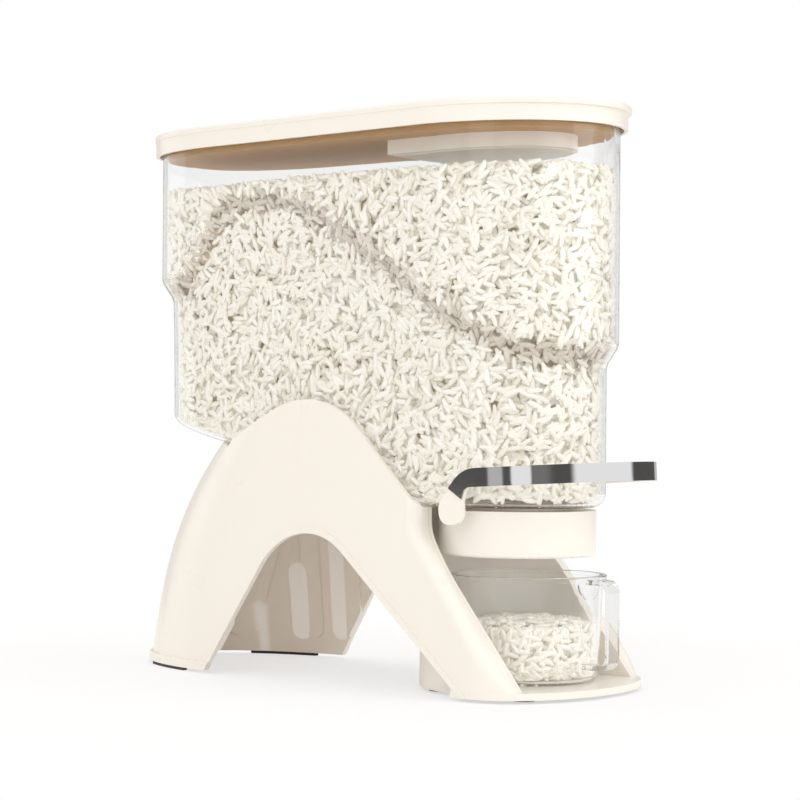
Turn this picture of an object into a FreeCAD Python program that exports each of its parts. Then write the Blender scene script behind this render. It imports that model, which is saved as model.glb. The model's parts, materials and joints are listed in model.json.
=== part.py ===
"""Countertop rice dispenser: a clear hopper on an arched stand, a press lever that turns a
sector gate under the outlet, a lift-off lid with a drying box, and a measuring cup below.

Frame: +Z up, -Y towards the user, origin under the middle of the whole assembly.
"""
import FreeCAD, Part
import os
from math import cos, pi, radians, sin, tan

Vector = FreeCAD.Vector
X_AXIS = Vector(1, 0, 0)
Y_AXIS = Vector(0, 1, 0)
Z_AXIS = Vector(0, 0, 1)

# ---- driving dimensions (mm) --------------------------------------------------------------

# plan of the lid and hopper: an oval, a little narrower at the back
LID_HALF_FRONT = 75.8          # half width where the front curve starts
LID_HALF_REAR = 68.2           # half width where the rear curve starts
PLAN_FRONT_Y = -81.5           # start of the front curve
PLAN_REAR_Y = 81.0             # start of the rear curve
PLAN_FRONT_DEPTH = 99.8        # depth of the front half ellipse
PLAN_REAR_DEPTH = 126.5        # depth of the squarer rear end
PLAN_REAR_POWER = 2.55         # squareness of the rear end, 2 is an ellipse

# lid
LID_TOP_Z = 382.7
LID_SKIRT_HEIGHT = 15.0
LID_RIM_HEIGHT = 4.2           # taller band round the top, with the front lip
LID_RIM_STEP = 0.5             # the band stands out this far all round
LID_FRONT_LIP = 2.8            # and this much more at the front, as a finger lip
LID_WALL = 2.5
LID_EDGE_RADIUS = 1.5
PLUG_DEPTH = 18.3              # from the lid's top down to the plug's floor
PLUG_WALL = 2.0
SEAL_THICKNESS = 1.3
SEAL_HEIGHT = 4.0
SEAL_DROP = 6.0                # from the plug's floor up to the seal

# drying box under the lid
BOX_INSET = 33.0               # from the lid's edge to the box
BOX_BACK_Y = -28.0
BOX_HEIGHT = 8.7
BOX_WALL = 1.6
BOX_COVER_STEP = 3.0
BOX_COVER_THICKNESS = 2.0
SACHET_GAP = 0.6

# hopper
HOPPER_WALL = 2.5
HOPPER_INSET = 5.0             # from the lid's edge to the upper wall
STEP_INSET = 8.0               # how far the lower part stands in
STEP_HALF_HEIGHT = 8.0
STEP_FRONT_Z = 219.0           # height of the wave at the front
STEP_PEAK_Z = 330.0            # height of the wave at its peak
STEP_PEAK_Y = 80.0
STEP_REAR_Z = 270.0            # height of the wave at the back
STEP_REAR_SHARE = 0.65         # how far along the rear end the wave stops falling
STEP_REAR_POWER = 1.6          # how late it starts to fall
FLOOR_FRONT_Z = 120.5          # underside of the flat front floor
FLOOR_BREAK_Y = -78.5          # where the floor starts to rise
FLOOR_SLOPE = 11.6             # degrees
FLOOR_EDGE_RADIUS = 9.0
RIM_GAP = 0.3                  # lid to hopper rim
SEAL_GAP = 0.3                 # seal to hopper wall

# outlet
OUTLET_Y = -107.8
NECK_BORE_RADIUS = 27.0
NECK_WALL = 2.5
NECK_BOTTOM_Z = 106.0
COLLAR_RADIUS = 52.0
COLLAR_WALL = 2.5
COLLAR_TOP_Z = 118.5
COLLAR_HEIGHT = 29.9
COLLAR_PLATE = 2.5
COLLAR_EDGE_RADIUS = 2.2
THROAT_WALL = 2.0
THROAT_FLOOR_Z = 97.0
THROAT_FIT = 0.1               # throat in the collar's hole
NECK_FIT = 0.3                 # neck in the throat
NECK_SEAL_HEIGHT = 2.0
SLOT_LENGTH = 40.0
SLOT_WIDTH = 11.0
SLOT_FORWARD = 1.5             # slot centre in front of the outlet's axis
SLOT_WALL = 1.5

# lever, gate and pivot
PIVOT_Y = -99.5
PIVOT_Z = 114.5
LEVER_TRAVEL = 24.0            # degrees
LEVER_TILT = 3.4               # degrees, front end up at rest
PIN_RADIUS = 2.0
PIN_COVER = 1.2                # arm left outside the pin's blind hole
PIN_FIT = 0.06                 # pin in the collar
KEY_FIT = 0.02                 # pin in the lever and the gate
GATE_RADIUS = 21.0
GATE_THICKNESS = 1.5
GATE_FIT = 0.3
SWING_MARGIN = 6.0             # degrees kept free beyond the gate's travel
GATE_BACK = 8.0                # degrees from straight down, at rest
GATE_FRONT = 51.0
GATE_ARM_IN = 33.0
GATE_ARM_THICKNESS = 2.0
GATE_ARM_TAPER = 6.0           # degrees, arms narrower than the plate on each side
GATE_HUB_RADIUS = 3.6
ARM_IN = 63.8                  # inner face of the lever's arms
ARM_THICKNESS = 3.2
ARM_WIDTH = 12.0
HUB_RADIUS = 3.5
HUB_GAP = 0.6                  # hub to collar
BOSS_RADIUS = 4.6              # pin boss inside the collar
BOSS_START = 44.0
WINDOW_MARGIN = 3.0            # window in the collar's top, round each boss
PAD_FRONT = 14.4               # rounded pad at the pivot, measured from the pivot
PAD_REAR = 5.0
PAD_DROP = 4.8
PAD_RADIUS = 8.0
PAD_NOTCH = 11.0               # where the pad's front edge turns into the strap
NOTCH_RADIUS = 10.0
STRAP_REAR = 9.2               # where the pad's rear edge turns into the slanted strap
STRAP_RADIUS = 10.0
CURL_FORWARD = 16.0            # where the strap's upper edge would meet the band's
CURL_RADIUS = 24.0
UNDERCUT = 3.2                 # strap's lower edge, in front of the pad
UNDERCUT_RADIUS = 5.0
BAND_TOP = 30.8                # band's top above the pivot
LOOP_FRONT_Y = -206.0
LOOP_BACK = 26.5               # the loop's curve starts this far in front of the pivot
TRIM_END = 21.6                # trim ends this far above the pivot,
TRIM_END_SLOPE = 35.3          # on a line that falls to the front by this angle
TRIM_THICKNESS = 1.2
SPRING_WIRE = 0.9
SPRING_CLEARANCE = 0.45
SPRING_TURNS = 4
SPRING_PITCH = 1.4
SPRING_START = 36.4
SPRING_LEG = 9.0
WIRE_SIDES = 6

# stand
STAND_WALL = 3.0
STAND_BOTTOM_Z = 2.0
STAND_RINGS = (-6.0, 50.0, 105.0, 155.0, 205.0)    # heights of the form's sections
STAND_HALF_FRONT = 82.0
STAND_HALF_REAR = 76.5
STAND_FRONT_Y = -131.5
STAND_REAR_Y = 60.0
STAND_FRONT_DEPTH = 51.0
STAND_REAR_DEPTH = 149.5
STAND_REAR_POWER = 2.3
STAND_SIDE_LEAN = 5.0          # degrees
REAR_LEAN = 0.15               # rear wall, forward per unit of height near the floor
REAR_CURVE = 51.5              # extra forward curve of the rear wall at REAR_CURVE_Z
REAR_CURVE_Z = 163.0
SADDLE_PEAK_Y = 26.0
SADDLE_PEAK_Z = 190.5
SADDLE_RADIUS = 70.0
SADDLE_FRONT_SLOPE = 42.3      # degrees
SADDLE_REAR_SLOPE = 26.0
SADDLE_REAR_Z = 163.5
SADDLE_REAR_RADIUS = 25.0
LEG_FACE_SLOPE = 51.0          # degrees, front face of the front legs
LEG_FACE_Y = -89.5             # the face passes through this point
LEG_FACE_Z = 91.0
LEG_TOP_Y = -77.5
LEG_WALL = 4.5                 # the legs' front wall
LEG_EDGE_RADIUS = 8.0          # edge between the legs' front and the sides
LEG_BEND_RADIUS = 22.0
ARCH_PEAK_Y = 16.0
ARCH_PEAK_Z = 100.3
ARCH_RADIUS = 50.0
ARCH_FRONT_SLOPE = 38.8        # degrees
ARCH_REAR_SLOPE = 57.5
ARCH_RIM = 4.0                 # width of the thickened rim
ARCH_RIM_HEIGHT = 1.0
FOOT_LIP = 2.0
FOOT_LIP_HEIGHT = 6.0
FOOT_LIP_Y = 95.0              # the lip runs behind this line
POCKET_FIT = 0.4               # stand to hopper

# cup bay
BAY_RADIUS = 61.0
BAY_WALL = 3.0
BAY_FIT = 0.3
TRAY_TOP_Z = 6.5
TRAY_PLATE = 2.5
TRAY_SKIRT = 2.5
TRAY_EDGE = 0.4                # the base stands out this far in front of the legs' surface
TRAY_BACK_Y = -116.0           # behind this line the tray is only as wide as the bay

# ribs inside the back of the stand
RIB_HEIGHT = 2.5
RIB_WIDTH = 14.0
RIB_SIDE_Y = (92.0, 127.0)
RIB_BACK_X = (16.0, 42.0)
RIB_BACK_FROM_Y = 140.0
RIB_BOTTOM_Z = 14.0
RIB_TOP_Z = 112.0
BAR_BOTTOM_Z = 60.0
BAR_TOP_Z = 76.0

# feet
FOOT_RADIUS = 8.0
FOOT_PEG_RADIUS = 2.5
FOOT_PEG_FIT = 0.1
FOOT_PEG_HEIGHT = 1.6
FOOT_BOSS = 1.5                # boss wall round each foot
FOOT_MIDDLE = (42.0, -78.0)      # x and y of the feet under the bay
FOOT_FRONT = (50.0, -150.0)
REAR_FOOT_WIDTH = 4.0
REAR_FOOT_FROM_Y = 130.0
REAR_FOOT_TO_Y = 178.0

# measuring cup
CUP_Y = -116.8
CUP_RIM_RADIUS = 51.8
CUP_RIM_HEIGHT = 3.0
CUP_TOP_Z = 76.5
CUP_TOP_RADIUS = 49.6
CUP_BOTTOM_RADIUS = 46.5
CUP_WALL = 2.0
CUP_FLOOR = 2.5
CUP_CORNER = 5.0
CUP_RIM_ROUND = 0.8
CUP_GAP = 0.2                  # cup to tray
HANDLE_REACH = 19.0            # from the cup's wall to the handle's front
HANDLE_BOTTOM_Z = 17.0
HANDLE_THICKNESS = 3.2
HANDLE_WIDTH = 12.0
HANDLE_CORNER = 8.0
SHIELD_RADIUS = 12.0           # half-round plate behind the handle, under the rim
SHIELD_THICKNESS = 1.0

# ---- worked out from those ----------------------------------------------------------------

FAR = 400.0                    # beyond the part in every direction
OVAL_STEPS = 6                 # curve points along each quarter of an oval
SIDE_SHARES = (0, 0.06, 0.35, 0.65, 0.94, 1)
LID_BOTTOM_Z = LID_TOP_Z - LID_SKIRT_HEIGHT
LID_ROOF_Z = LID_TOP_Z - LID_WALL
PLUG_FLOOR_Z = LID_TOP_Z - PLUG_DEPTH
HOPPER_RIM_Z = LID_ROOF_Z - RIM_GAP
BORE_INSET = HOPPER_INSET + HOPPER_WALL
SEAL_INSET = BORE_INSET + SEAL_GAP
PLUG_INSET = SEAL_INSET + SEAL_THICKNESS
COLLAR_BOTTOM_Z = COLLAR_TOP_Z - COLLAR_HEIGHT
COLLAR_PLATE_Z = COLLAR_TOP_Z - COLLAR_PLATE
BAND_TOP_Z = PIVOT_Z + BAND_TOP
BAND_BOTTOM_Z = BAND_TOP_Z - ARM_WIDTH
LOOP_START_Y = PIVOT_Y - LOOP_BACK
LOOP_STEPS = 16                # curve points along the loop
NECK_RADIUS = NECK_BORE_RADIUS + NECK_WALL
THROAT_BORE = NECK_RADIUS + NECK_FIT
THROAT_RADIUS = THROAT_BORE + THROAT_WALL
THROAT_TOP_Z = FLOOR_FRONT_Z - NECK_FIT
SEAT_Z = NECK_BOTTOM_Z - NECK_SEAL_HEIGHT
SLOT_Y = OUTLET_Y - SLOT_FORWARD
GATE_OUTER = GATE_RADIUS + GATE_THICKNESS
GATE_ARM_OUT = GATE_ARM_IN + GATE_ARM_THICKNESS
ARM_OUT = ARM_IN + ARM_THICKNESS
TRAY_UNDER_Z = TRAY_TOP_Z - TRAY_PLATE
PEG_HOLE_TOP_Z = STAND_BOTTOM_Z + FOOT_PEG_HEIGHT + FOOT_PEG_FIT
CUP_BOTTOM_Z = TRAY_TOP_Z + CUP_GAP
HOPPER_LOWER_INSET = HOPPER_INSET + STEP_INSET


# ---- general helpers ----------------------------------------------------------------------

def smooth(u):
    """0 to 1 with level ends."""
    u = min(max(u, 0.0), 1.0)
    return 0.5 - 0.5 * cos(pi * u)


def oval_points(half_front, half_rear, front_y, rear_y, front_depth, rear_depth, power):
    """Points round the right half of an oval, from its front end to its rear end: a quarter
    ellipse, a tapering side and a squarer rear corner."""
    points = []
    for i in range(OVAL_STEPS):
        a = pi / 2 * i / OVAL_STEPS
        points.append((half_front * sin(a), front_y - front_depth * cos(a)))
    for share in SIDE_SHARES:
        half = half_front + (half_rear - half_front) * share
        points.append((half, front_y + (rear_y - front_y) * share))
    for i in range(1, OVAL_STEPS + 1):
        a = pi / 2 * i / OVAL_STEPS
        x = half_rear * abs(cos(a)) ** (2 / power) if i < OVAL_STEPS else 0.0
        points.append((x, rear_y + rear_depth * sin(a) ** (2 / power)))
    return points


def whole_loop(points):
    """The points of a right half, then their mirror images back to the start."""
    return points + [Vector(-p.x, p.y, p.z) for p in reversed(points[1:-1])]


def spacing(loop):
    """Lengths from the first point of a closed loop to each point and back to the first."""
    knots = [0.0]
    for here, there in zip(loop, loop[1:] + loop[:1]):
        knots.append(knots[-1] + here.distanceToPoint(there))
    return knots


def closed_curve(loop, knots):
    """A smooth closed wire; rings that share their knots loft into one light surface."""
    curve = Part.BSplineCurve()
    curve.interpolate(Points=loop, PeriodicFlag=True, Parameters=knots)
    return Part.Wire([curve.toShape()])


def lid_plan(inset, lip=0.0):
    return oval_points(LID_HALF_FRONT - inset, LID_HALF_REAR - inset, PLAN_FRONT_Y, PLAN_REAR_Y,
                       PLAN_FRONT_DEPTH - inset + lip, PLAN_REAR_DEPTH - inset, PLAN_REAR_POWER)


def prism(points, bottom, top):
    """A straight-sided solid on a closed smooth outline."""
    loop = whole_loop([Vector(x, y, bottom) for x, y in points])
    return Part.Face(closed_curve(loop, spacing(loop))).extrude(Vector(0, 0, top - bottom))


def box(x0, x1, y0, y1, z0, z1):
    return Part.makeBox(x1 - x0, y1 - y0, z1 - z0, Vector(x0, y0, z0))


def rod(radius, x0, x1, y, z):
    """A cylinder along X."""
    return Part.makeCylinder(radius, x1 - x0, Vector(x0, y, z), X_AXIS)


def post(radius, z0, z1, x, y):
    """An upright cylinder."""
    return Part.makeCylinder(radius, z1 - z0, Vector(x, y, z0), Z_AXIS)


def side_slab(points, half_width):
    """A straight-edged outline in the YZ plane, extruded across the width."""
    wire = Part.makePolygon([Vector(-half_width, y, z) for y, z in points + points[:1]])
    return Part.Face(wire).extrude(Vector(2 * half_width, 0, 0))


def rounded_face(corners, x=0.0):
    """A flat face across X whose corners (y, z, radius) are rounded."""
    ends = []
    count = len(corners)
    for i, (y, z, radius) in enumerate(corners):
        point = Vector(x, y, z)
        before = (Vector(x, *corners[i - 1][:2]) - point).normalize()
        after = (Vector(x, *corners[(i + 1) % count][:2]) - point).normalize()
        half = before.getAngle(after) / 2
        middle = (before + after).normalize()
        tip = point + middle * (radius / sin(half) - radius)
        ends.append((point + before * (radius / tan(half)), tip, point + after * (radius / tan(half))))
    edges = []
    for i, (first, tip, last) in enumerate(ends):
        edges.append(Part.LineSegment(ends[i - 1][2], first).toShape())
        if corners[i][2] > 0:
            edges.append(Part.Arc(first, tip, last).toShape())
    return Part.Face(Part.Wire(edges))


def rounded_slab(corners, x0=-FAR, x1=FAR):
    """A side view with rounded corners, extruded across the width."""
    return rounded_face(corners, x0).extrude(Vector(x1 - x0, 0, 0))


def mirrored(shape):
    return shape.mirror(Vector(0, 0, 0), X_AXIS)


def sector(inner, outer, start, end, half_width):
    """Part of a tube about the pivot; angles in degrees from straight down, towards the front."""
    def at(radius, angle):
        a = radians(angle)
        return Vector(-half_width, PIVOT_Y - radius * sin(a), PIVOT_Z - radius * cos(a))
    middle = (start + end) / 2
    edges = [
        Part.Arc(at(outer, start), at(outer, middle), at(outer, end)).toShape(),
        Part.LineSegment(at(outer, end), at(inner, end)).toShape(),
        Part.Arc(at(inner, end), at(inner, middle), at(inner, start)).toShape(),
        Part.LineSegment(at(inner, start), at(outer, start)).toShape(),
    ]
    return Part.Face(Part.Wire(edges)).extrude(Vector(2 * half_width, 0, 0))


def floor_z(y):
    """Underside of the hopper's floor."""
    return FLOOR_FRONT_Z + max(y - FLOOR_BREAK_Y, 0.0) * tan(radians(FLOOR_SLOPE))


def below_floor(lift):
    """Everything under the hopper's floor, raised by lift."""
    return side_slab([(-FAR, -FAR), (-FAR, FLOOR_FRONT_Z + lift), (FLOOR_BREAK_Y, FLOOR_FRONT_Z + lift),
                      (FAR, floor_z(FAR) + lift), (FAR, -FAR)], FAR)


# ---- hopper -------------------------------------------------------------------------------

def wave_z(y):
    """Height of the middle of the hopper's step."""
    if y < STEP_PEAK_Y:
        front = PLAN_FRONT_Y - PLAN_FRONT_DEPTH
        rise = smooth((y - front) / (STEP_PEAK_Y - front))
        return STEP_FRONT_Z + (STEP_PEAK_Z - STEP_FRONT_Z) * rise
    span = PLAN_REAR_Y + STEP_REAR_SHARE * PLAN_REAR_DEPTH - STEP_PEAK_Y
    fall = smooth(min((y - STEP_PEAK_Y) / span, 1.0) ** STEP_REAR_POWER)
    return STEP_PEAK_Z + (STEP_REAR_Z - STEP_PEAK_Z) * fall


def hopper_body(skin):
    """The hopper's outer form, or its cavity when skin is the wall."""
    upper = lid_plan(HOPPER_INSET + skin)
    lower = lid_plan(HOPPER_LOWER_INSET + skin)
    knots = spacing(whole_loop([Vector(x, y, 0) for x, y in upper]))

    def ring(share, height):
        """A curve round the body: share 0 on the lower wall and 1 on the upper wall."""
        points = []
        for (xl, yl), (xu, yu) in zip(lower, upper):
            x = xl + (xu - xl) * share
            y = yl + (yu - yl) * share
            points.append(Vector(x, y, height(yu)))
        return closed_curve(whole_loop(points), knots)

    rings = [ring(0, lambda y: NECK_BOTTOM_Z)]
    for share, level in ((0, -1), (0.15, -0.55), (0.85, 0.55), (1, 1)):
        rings.append(ring(share, lambda y, k=level: wave_z(y) + k * STEP_HALF_HEIGHT))
    rings.append(ring(1, lambda y: HOPPER_RIM_Z + (1 if skin else 0)))
    return Part.makeLoft(rings, True, True)


def floor_edges(shape, lift):
    """Edges where the walls meet the hopper's floor."""
    found = []
    for edge in shape.Edges:
        points = edge.discretize(5)
        on_floor = all(abs(p.z - floor_z(p.y) - lift) < 0.1 for p in points)
        on_break = all(abs(p.y - FLOOR_BREAK_Y) < 0.1 for p in points)
        if on_floor and not on_break:
            found.append(edge)
    return found


def rounded_floor(body, lift, radius):
    """Cut the body at the floor and round the edge all round."""
    body = body.cut(below_floor(lift))
    return body.makeFillet(radius, floor_edges(body, lift))


def make_hopper():
    shell = rounded_floor(hopper_body(0.0), 0.0, FLOOR_EDGE_RADIUS)
    cavity = rounded_floor(hopper_body(HOPPER_WALL), HOPPER_WALL, FLOOR_EDGE_RADIUS - HOPPER_WALL)
    shell = shell.cut(cavity)
    neck = post(NECK_RADIUS, NECK_BOTTOM_Z, FLOOR_FRONT_Z + HOPPER_WALL / 2, 0, OUTLET_Y)
    bore = post(NECK_BORE_RADIUS, NECK_BOTTOM_Z - 1, FLOOR_FRONT_Z + 2 * HOPPER_WALL, 0, OUTLET_Y)
    return shell.fuse(neck).cut(bore)


# ---- outlet -------------------------------------------------------------------------------

def make_outlet_collar():
    ring = post(COLLAR_RADIUS, COLLAR_BOTTOM_Z, COLLAR_TOP_Z, 0, OUTLET_Y)
    lower_edge = [e for e in ring.Edges if abs(e.BoundBox.ZMax - COLLAR_BOTTOM_Z) < 0.01]
    ring = ring.makeFillet(COLLAR_EDGE_RADIUS, lower_edge)
    inside = post(COLLAR_RADIUS - COLLAR_WALL, COLLAR_BOTTOM_Z - 1, COLLAR_PLATE_Z, 0, OUTLET_Y)
    hole = post(THROAT_RADIUS + THROAT_FIT, COLLAR_PLATE_Z - 1, COLLAR_TOP_Z + 1, 0, OUTLET_Y)
    collar = ring.cut(inside)
    core = post(COLLAR_RADIUS - COLLAR_WALL / 2, COLLAR_BOTTOM_Z, COLLAR_TOP_Z, 0, OUTLET_Y)
    window_half = BOSS_RADIUS + WINDOW_MARGIN
    for side in (-1, 1):
        boss = rod(BOSS_RADIUS, BOSS_START, COLLAR_RADIUS, PIVOT_Y, PIVOT_Z).common(core)
        window = box(THROAT_RADIUS + THROAT_WALL / 2, BOSS_START + 0.2, PIVOT_Y - window_half,
                     PIVOT_Y + window_half, COLLAR_PLATE_Z - 1, COLLAR_TOP_Z + 1)
        bore = rod(PIN_RADIUS + PIN_FIT, BOSS_START - 2, COLLAR_RADIUS + 2, PIVOT_Y, PIVOT_Z)
        if side < 0:
            boss, window, bore = mirrored(boss), mirrored(window), mirrored(bore)
        collar = collar.cut(window).fuse(boss).cut(bore)
    return collar.cut(hole)


def make_outlet_throat():
    """A tube round the hopper's neck with a funnel floor and a slot that the gate closes."""
    tube = post(THROAT_RADIUS, THROAT_FLOOR_Z, THROAT_TOP_Z, 0, OUTLET_Y)
    tube = tube.cut(post(THROAT_BORE, SEAT_Z, THROAT_TOP_Z + 1, 0, OUTLET_Y))
    half_length = SLOT_LENGTH / 2
    half_width = SLOT_WIDTH / 2
    chute = box(-half_length - SLOT_WALL, half_length + SLOT_WALL, SLOT_Y - half_width - SLOT_WALL,
                SLOT_Y + half_width + SLOT_WALL, COLLAR_BOTTOM_Z, THROAT_FLOOR_Z)
    chute = chute.common(rod(GATE_RADIUS - GATE_FIT, -COLLAR_RADIUS, COLLAR_RADIUS, PIVOT_Y, PIVOT_Z))
    throat = tube.fuse(chute)
    top = Part.Wire([Part.Circle(Vector(0, OUTLET_Y, SEAT_Z), Z_AXIS, NECK_BORE_RADIUS).toShape()])
    corners = [Vector(x, SLOT_Y + y, THROAT_FLOOR_Z) for x, y in
               ((half_length, half_width), (-half_length, half_width),
                (-half_length, -half_width), (half_length, -half_width))]
    bottom = Part.makePolygon(corners + corners[:1])
    funnel = Part.makeLoft([top, bottom], True, True)
    slot = box(-half_length, half_length, SLOT_Y - half_width, SLOT_Y + half_width,
               COLLAR_BOTTOM_Z - 1, THROAT_FLOOR_Z + 0.5)
    swept = sector(GATE_RADIUS - GATE_FIT, COLLAR_RADIUS, GATE_BACK - LEVER_TRAVEL - SWING_MARGIN,
                   GATE_FRONT + SWING_MARGIN, THROAT_RADIUS + 1)
    return throat.cut(funnel).cut(slot).cut(swept)


def make_neck_seal():
    ring = post(NECK_RADIUS, SEAT_Z, NECK_BOTTOM_Z, 0, OUTLET_Y)
    return ring.cut(post(NECK_BORE_RADIUS, SEAT_Z - 1, NECK_BOTTOM_Z + 1, 0, OUTLET_Y))


# ---- lever, gate, pins and springs --------------------------------------------------------

def make_valve_gate():
    plate = sector(GATE_RADIUS, GATE_OUTER, GATE_BACK, GATE_FRONT, GATE_ARM_OUT)
    arms = sector(GATE_HUB_RADIUS / 2, GATE_OUTER, GATE_BACK + GATE_ARM_TAPER,
                  GATE_FRONT - GATE_ARM_TAPER, GATE_ARM_OUT)
    hubs = rod(GATE_HUB_RADIUS, -GATE_ARM_OUT, GATE_ARM_OUT, PIVOT_Y, PIVOT_Z)
    between = box(-GATE_ARM_IN, GATE_ARM_IN, -FAR, FAR, 0, FAR)
    bore = rod(PIN_RADIUS + KEY_FIT, -FAR, FAR, PIVOT_Y, PIVOT_Z)
    return plate.fuse(arms.fuse(hubs).cut(between)).cut(bore)


def make_pivot_pin():
    return rod(PIN_RADIUS, GATE_ARM_IN, ARM_OUT - PIN_COVER, PIVOT_Y, PIVOT_Z)


def make_return_spring():
    """A torsion coil round the pin, between the gate's arm and the collar's boss."""
    radius = PIN_RADIUS + SPRING_CLEARANCE + SPRING_WIRE / 2
    height = SPRING_PITCH * SPRING_TURNS
    path = Part.Wire(Part.makeHelix(SPRING_PITCH, height, radius).Edges)
    wire = SPRING_WIRE / 2
    corners = []
    for i in range(WIRE_SIDES):
        a = 2 * pi * i / WIRE_SIDES
        corners.append(Vector(radius + wire * cos(a), 0, wire * sin(a)))
    section = Part.makePolygon(corners + corners[:1])
    coil = path.makePipeShell([section], True, True)
    first_leg = Part.makeCylinder(wire, SPRING_LEG, Vector(radius, 0, 0), Vector(0, -1, 0))
    last_leg = Part.makeCylinder(wire, SPRING_LEG, Vector(radius, 0, height), Y_AXIS)
    spring = coil.fuse(first_leg).fuse(last_leg)
    spring.rotate(Vector(0, 0, 0), Y_AXIS, 90)
    spring.translate(Vector(SPRING_START, PIVOT_Y, PIVOT_Z))
    return spring


def arm_outline(x):
    """Side view of one arm: a rounded pad at the pivot, a slanted strap that curls forward,
    and the start of the band."""
    front = PIVOT_Y - PAD_FRONT
    rear = PIVOT_Y + PAD_REAR
    low = PIVOT_Z - PAD_DROP
    return rounded_face([
        (front, low, PAD_RADIUS),
        (rear, low, PAD_RADIUS),
        (rear, PIVOT_Z + STRAP_REAR, STRAP_RADIUS),
        (PIVOT_Y - CURL_FORWARD, BAND_TOP_Z, CURL_RADIUS),
        (LOOP_START_Y, BAND_TOP_Z, 0),
        (LOOP_START_Y, BAND_BOTTOM_Z, 0),
        (front - UNDERCUT, BAND_BOTTOM_Z, UNDERCUT_RADIUS),
        (front, PIVOT_Z + PAD_NOTCH, NOTCH_RADIUS)], x)


def loop_plan(half_width, front_y):
    """The loop's rounded front, as a solid plug over the band's height."""
    depth = LOOP_START_Y - front_y
    points = []
    for i in range(LOOP_STEPS + 1):
        a = pi * i / LOOP_STEPS - pi / 2
        points.append(Vector(half_width * sin(a), LOOP_START_Y - depth * cos(a), BAND_BOTTOM_Z))
    curve = Part.BSplineCurve()
    curve.interpolate(points, InitialTangent=Vector(0, -1, 0), FinalTangent=Vector(0, 1, 0))
    back = Part.LineSegment(points[-1], points[0]).toShape()
    face = Part.Face(Part.Wire([curve.toShape(), back]))
    return face.extrude(Vector(0, 0, ARM_WIDTH))


def tilted(shape):
    """Lift the lever's front end to its rest angle."""
    turned = shape.copy()
    turned.rotate(Vector(0, PIVOT_Y, PIVOT_Z), X_AXIS, -LEVER_TILT)
    return turned


def make_lever_yoke():
    loop = loop_plan(ARM_OUT, LOOP_FRONT_Y).cut(loop_plan(ARM_IN, LOOP_FRONT_Y + ARM_THICKNESS))
    arm = arm_outline(ARM_IN).extrude(Vector(ARM_THICKNESS, 0, 0))
    collar_half = (COLLAR_RADIUS ** 2 - (PIVOT_Y - OUTLET_Y) ** 2) ** 0.5
    hub = rod(HUB_RADIUS, collar_half + HUB_GAP, ARM_IN, PIVOT_Y, PIVOT_Z)
    bore = rod(PIN_RADIUS + KEY_FIT, 0, ARM_OUT - PIN_COVER + KEY_FIT, PIVOT_Y, PIVOT_Z)
    arm = arm.fuse(hub).cut(bore)
    return tilted(loop.fuse(arm).fuse(mirrored(arm)))


def make_lever_trim():
    """A bright skin over the outside of the band, down to the top of the pads."""
    outer = loop_plan(ARM_OUT + TRIM_THICKNESS, LOOP_FRONT_Y - TRIM_THICKNESS)
    front = outer.cut(loop_plan(ARM_OUT, LOOP_FRONT_Y))
    side = arm_outline(ARM_OUT).extrude(Vector(TRIM_THICKNESS, 0, 0))
    rise = FAR * tan(radians(TRIM_END_SLOPE))
    end_z = PIVOT_Z + TRIM_END
    side = side.cut(side_slab([(PIVOT_Y - FAR, end_z - rise), (PIVOT_Y + FAR, end_z + rise),
                               (PIVOT_Y + FAR, -FAR), (PIVOT_Y - FAR, -FAR)], FAR))
    return tilted(front.fuse(side).fuse(mirrored(side)))


# ---- lid ----------------------------------------------------------------------------------

def make_lid():
    rim = prism(lid_plan(-LID_RIM_STEP, LID_FRONT_LIP), LID_TOP_Z - LID_RIM_HEIGHT, LID_TOP_Z)
    top_edges = [e for e in rim.Edges if e.BoundBox.ZMin > LID_TOP_Z - 0.01]
    rim = rim.makeFillet(LID_EDGE_RADIUS, top_edges)
    skirt = prism(lid_plan(0), LID_BOTTOM_Z, LID_TOP_Z - LID_RIM_HEIGHT)
    inside = prism(lid_plan(LID_WALL), LID_BOTTOM_Z - 1, LID_ROOF_Z)
    return rim.fuse(skirt).cut(inside)


def make_lid_plug():
    plug = prism(lid_plan(PLUG_INSET), PLUG_FLOOR_Z, LID_ROOF_Z)
    return plug.cut(prism(lid_plan(PLUG_INSET + PLUG_WALL), PLUG_FLOOR_Z + PLUG_WALL, LID_ROOF_Z + 1))


def make_lid_seal():
    low = PLUG_FLOOR_Z + SEAL_DROP
    ring = prism(lid_plan(SEAL_INSET), low, low + SEAL_HEIGHT)
    return ring.cut(prism(lid_plan(PLUG_INSET), low - 1, low + SEAL_HEIGHT + 1))


def box_block(inset, bottom, top):
    """A block under the front of the lid that follows its front curve."""
    block = prism(lid_plan(inset), bottom, top)
    return block.cut(box(-FAR, FAR, BOX_BACK_Y - (inset - BOX_INSET), FAR, 0, 2 * FAR))


def make_drying_box():
    bottom = PLUG_FLOOR_Z - BOX_HEIGHT
    shell = box_block(BOX_INSET, bottom, PLUG_FLOOR_Z)
    return shell.cut(box_block(BOX_INSET + BOX_WALL, bottom - 1, PLUG_FLOOR_Z - BOX_WALL))


def make_drying_box_cover():
    top = PLUG_FLOOR_Z - BOX_HEIGHT
    plate = box_block(BOX_INSET, top - BOX_COVER_THICKNESS / 2, top)
    step = box_block(BOX_INSET + BOX_COVER_STEP, top - BOX_COVER_THICKNESS, top)
    return plate.fuse(step)


def make_drying_sachet():
    bottom = PLUG_FLOOR_Z - BOX_HEIGHT
    return box_block(BOX_INSET + BOX_WALL + SACHET_GAP, bottom, PLUG_FLOOR_Z - BOX_WALL - SACHET_GAP)


# ---- stand --------------------------------------------------------------------------------

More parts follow.
